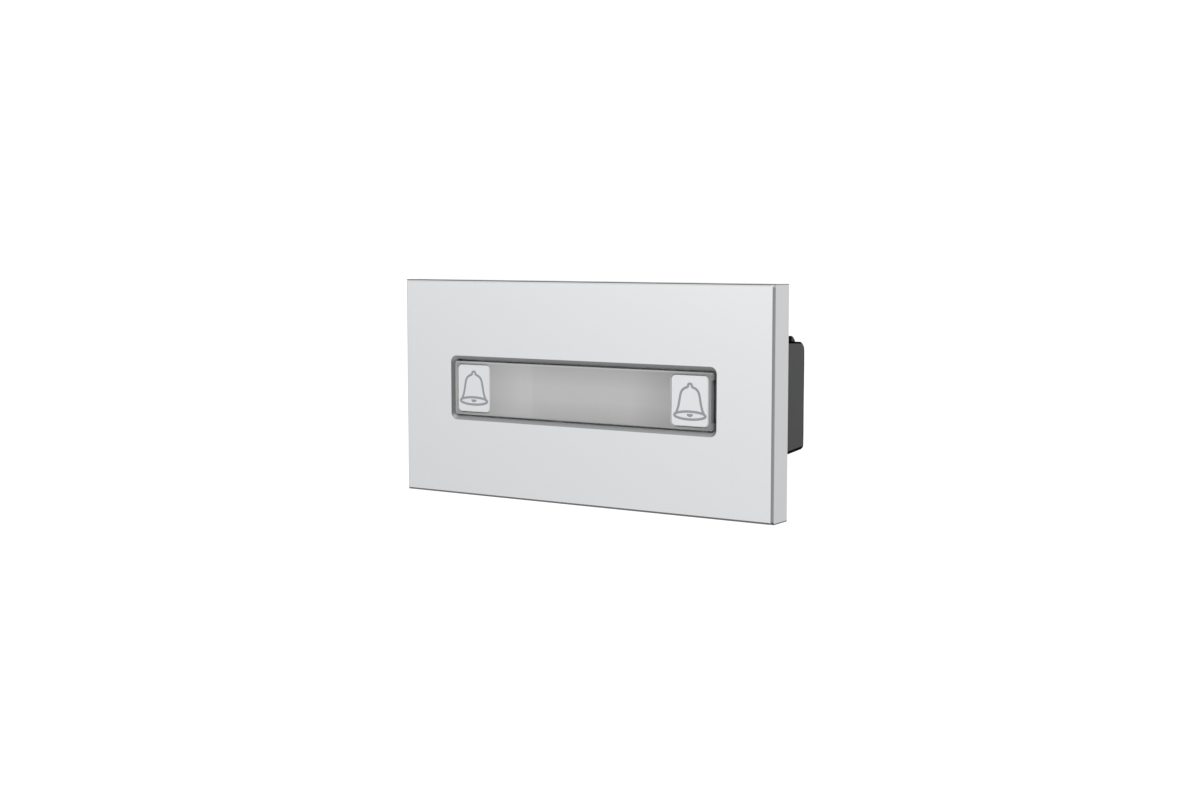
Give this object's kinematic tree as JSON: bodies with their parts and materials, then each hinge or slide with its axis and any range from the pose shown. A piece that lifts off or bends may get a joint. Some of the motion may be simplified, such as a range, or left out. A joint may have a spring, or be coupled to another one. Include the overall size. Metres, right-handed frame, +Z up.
{
  "type": "intercom button module",
  "caption": "Flush intercom call module: silver plate with a clear name bar between two bell keys, and a drafted dark rear housing that hooks into a frame.",
  "frame": {"origin": "centre of the seating plane, which is the flat back of the front plate's rim", "axes": "+Z up, +X to the visitor's right, +Y into the wall; the visitor stands on the -Y side"},
  "size_m": [0.1, 0.026, 0.0512],
  "materials": {
    "plate": "satin silver paint on a casting",
    "cover": "clear polished plastic",
    "key": "silver-white satin plastic",
    "card": "blank film",
    "diffuser": "milky translucent plastic",
    "carrier": "mid grey moulded plastic",
    "housing": "dark grey textured moulding",
    "silicone": "soft matt silicone",
    "pill": "carbon-filled rubber",
    "board": "solder mask",
    "lamp": "white package",
    "chip": "moulded epoxy",
    "can": "drawn can",
    "socket": "natural nylon",
    "contact": "plated",
    "screw": "zinc plated"
  },
  "bodies": {
    "module": {"front_plate": "plate", "window_seal": "silicone", "clear_cover": "cover", "name_card": "card", "light_guide": "diffuser", "key_carrier": "carrier", "left_key_boot": "silicone", "right_key_boot": "silicone", "circuit_board": "board", "label_lamp_1": "lamp", "label_lamp_2": "lamp", "label_lamp_3": "lamp", "controller_chip": "chip", "line_driver": "chip", "supply_capacitor": "can", "in_socket": "socket", "out_socket": "socket", "in_socket_contacts": "contact", "out_socket_contacts": "contact", "rear_housing": "housing", "housing_screws": "screw", "board_screws": "screw"},
    "left_key": {"left_key": "key", "left_contact_pill": "pill"},
    "right_key": {"right_key": "key", "right_contact_pill": "pill"}
  },
  "joints": [
    {"name": "left_key_press", "type": "slide", "parent": "module", "child": "left_key", "axis": [0, 1, 0], "range_m": [0, 0.001], "stiffness_N_per_m": 900, "springref_m": -0.0007, "deforming": ["left_key_boot"]},
    {"name": "right_key_press", "type": "slide", "parent": "module", "child": "right_key", "axis": [0, 1, 0], "range_m": [0, 0.001], "stiffness_N_per_m": 900, "springref_m": -0.0007, "deforming": ["right_key_boot"]}
  ]
}
